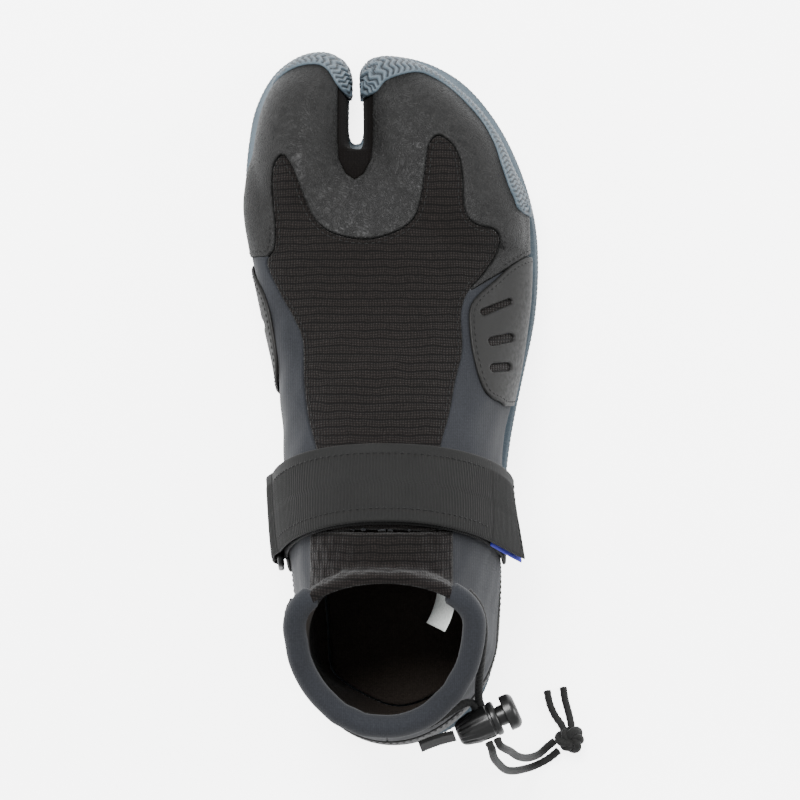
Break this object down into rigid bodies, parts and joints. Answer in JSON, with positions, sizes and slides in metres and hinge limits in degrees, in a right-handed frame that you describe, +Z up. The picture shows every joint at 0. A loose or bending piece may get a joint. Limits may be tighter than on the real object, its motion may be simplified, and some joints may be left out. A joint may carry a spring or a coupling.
{
  "type": "neoprene reef boot",
  "caption": "Ankle-high neoprene reef boot for the right foot with a split toe, rubber sole, instep strap through a side ring, and a drawcord collar with a cord lock.",
  "frame": {"origin": "on the ground under the middle of the boot's length, on the outsole's flat underside", "axes": "+Y towards the toes, +X towards the outer (little toe) side, +Z up"},
  "size_m": [0.1383, 0.293, 0.1147],
  "materials": {
    "sole_rubber": "moulded blue-grey rubber with zigzag ribs",
    "grained_rubber": "black rubberised neoprene with a leather grain",
    "black_rubber": "smooth black rubber",
    "slate_neoprene": "slate grey jersey-faced neoprene",
    "black_knit": "black knit",
    "webbing": "black ribbed webbing",
    "blue_webbing": "royal blue webbing",
    "black_plastic": "satin black moulded plastic",
    "label_cloth": "white woven label, blank",
    "cord": "black braided elastic cord",
    "foam": "cloth-covered foam",
    "spring_steel": "bright spring wire"
  },
  "bodies": {
    "boot": {"outsole": "sole_rubber", "big_toe_cap": "sole_rubber", "small_toes_cap": "sole_rubber", "lasting_board": "black_knit", "insole": "foam", "toe_panel": "grained_rubber", "toe_gusset": "black_knit", "instep_panel": "black_knit", "medial_quarter": "slate_neoprene", "lateral_quarter": "slate_neoprene", "heel_counter": "black_rubber", "lateral_vent_overlay": "black_rubber", "medial_vent_overlay": "black_rubber", "throat_patch": "black_knit", "collar_roll": "slate_neoprene", "size_label": "label_cloth", "strap_lower": "webbing", "ring_webbing": "webbing", "drawcord_lateral": "cord", "drawcord_medial": "cord", "heel_webbing_tab": "webbing", "cord_lock_body": "black_plastic", "cord_lock_spring": "spring_steel", "cord_tail_outer": "cord", "cord_tail_inner": "cord", "cord_knot": "cord", "cord_end_long": "cord", "cord_end_short": "cord"},
    "ring": {"strap_ring": "black_plastic", "strap_turn": "webbing"},
    "strap": {"strap_upper": "webbing", "hook_patch": "webbing"},
    "tip": {"strap_tip": "webbing", "pull_tab": "blue_webbing"},
    "plunger": {"cord_lock_plunger": "black_plastic"}
  },
  "joints": [
    {"name": "ring_swing", "type": "hinge", "parent": "boot", "child": "ring", "pos_m": [-0.048, -0.0491, 0.0408], "axis": [0, -0.9563, 0.2924], "range_deg": [0, 18]},
    {"name": "strap_lift", "type": "hinge", "parent": "ring", "child": "strap", "pos_m": [-0.053, -0.0458, 0.0517], "axis": [0, -0.9563, 0.2924], "range_deg": [0, 75]},
    {"name": "tip_peel", "type": "hinge", "parent": "strap", "child": "tip", "pos_m": [0.0378, -0.0395, 0.0722], "axis": [0, -0.9563, 0.2924], "range_deg": [0, 90]},
    {"name": "lock_press", "type": "slide", "parent": "boot", "child": "plunger", "axis": [-0.9136, -0.4067, 0], "range_m": [0, 0.0025], "stiffness_N_per_m": 900, "springref_m": -0.003, "deforming": ["cord_lock_spring"]}
  ]
}
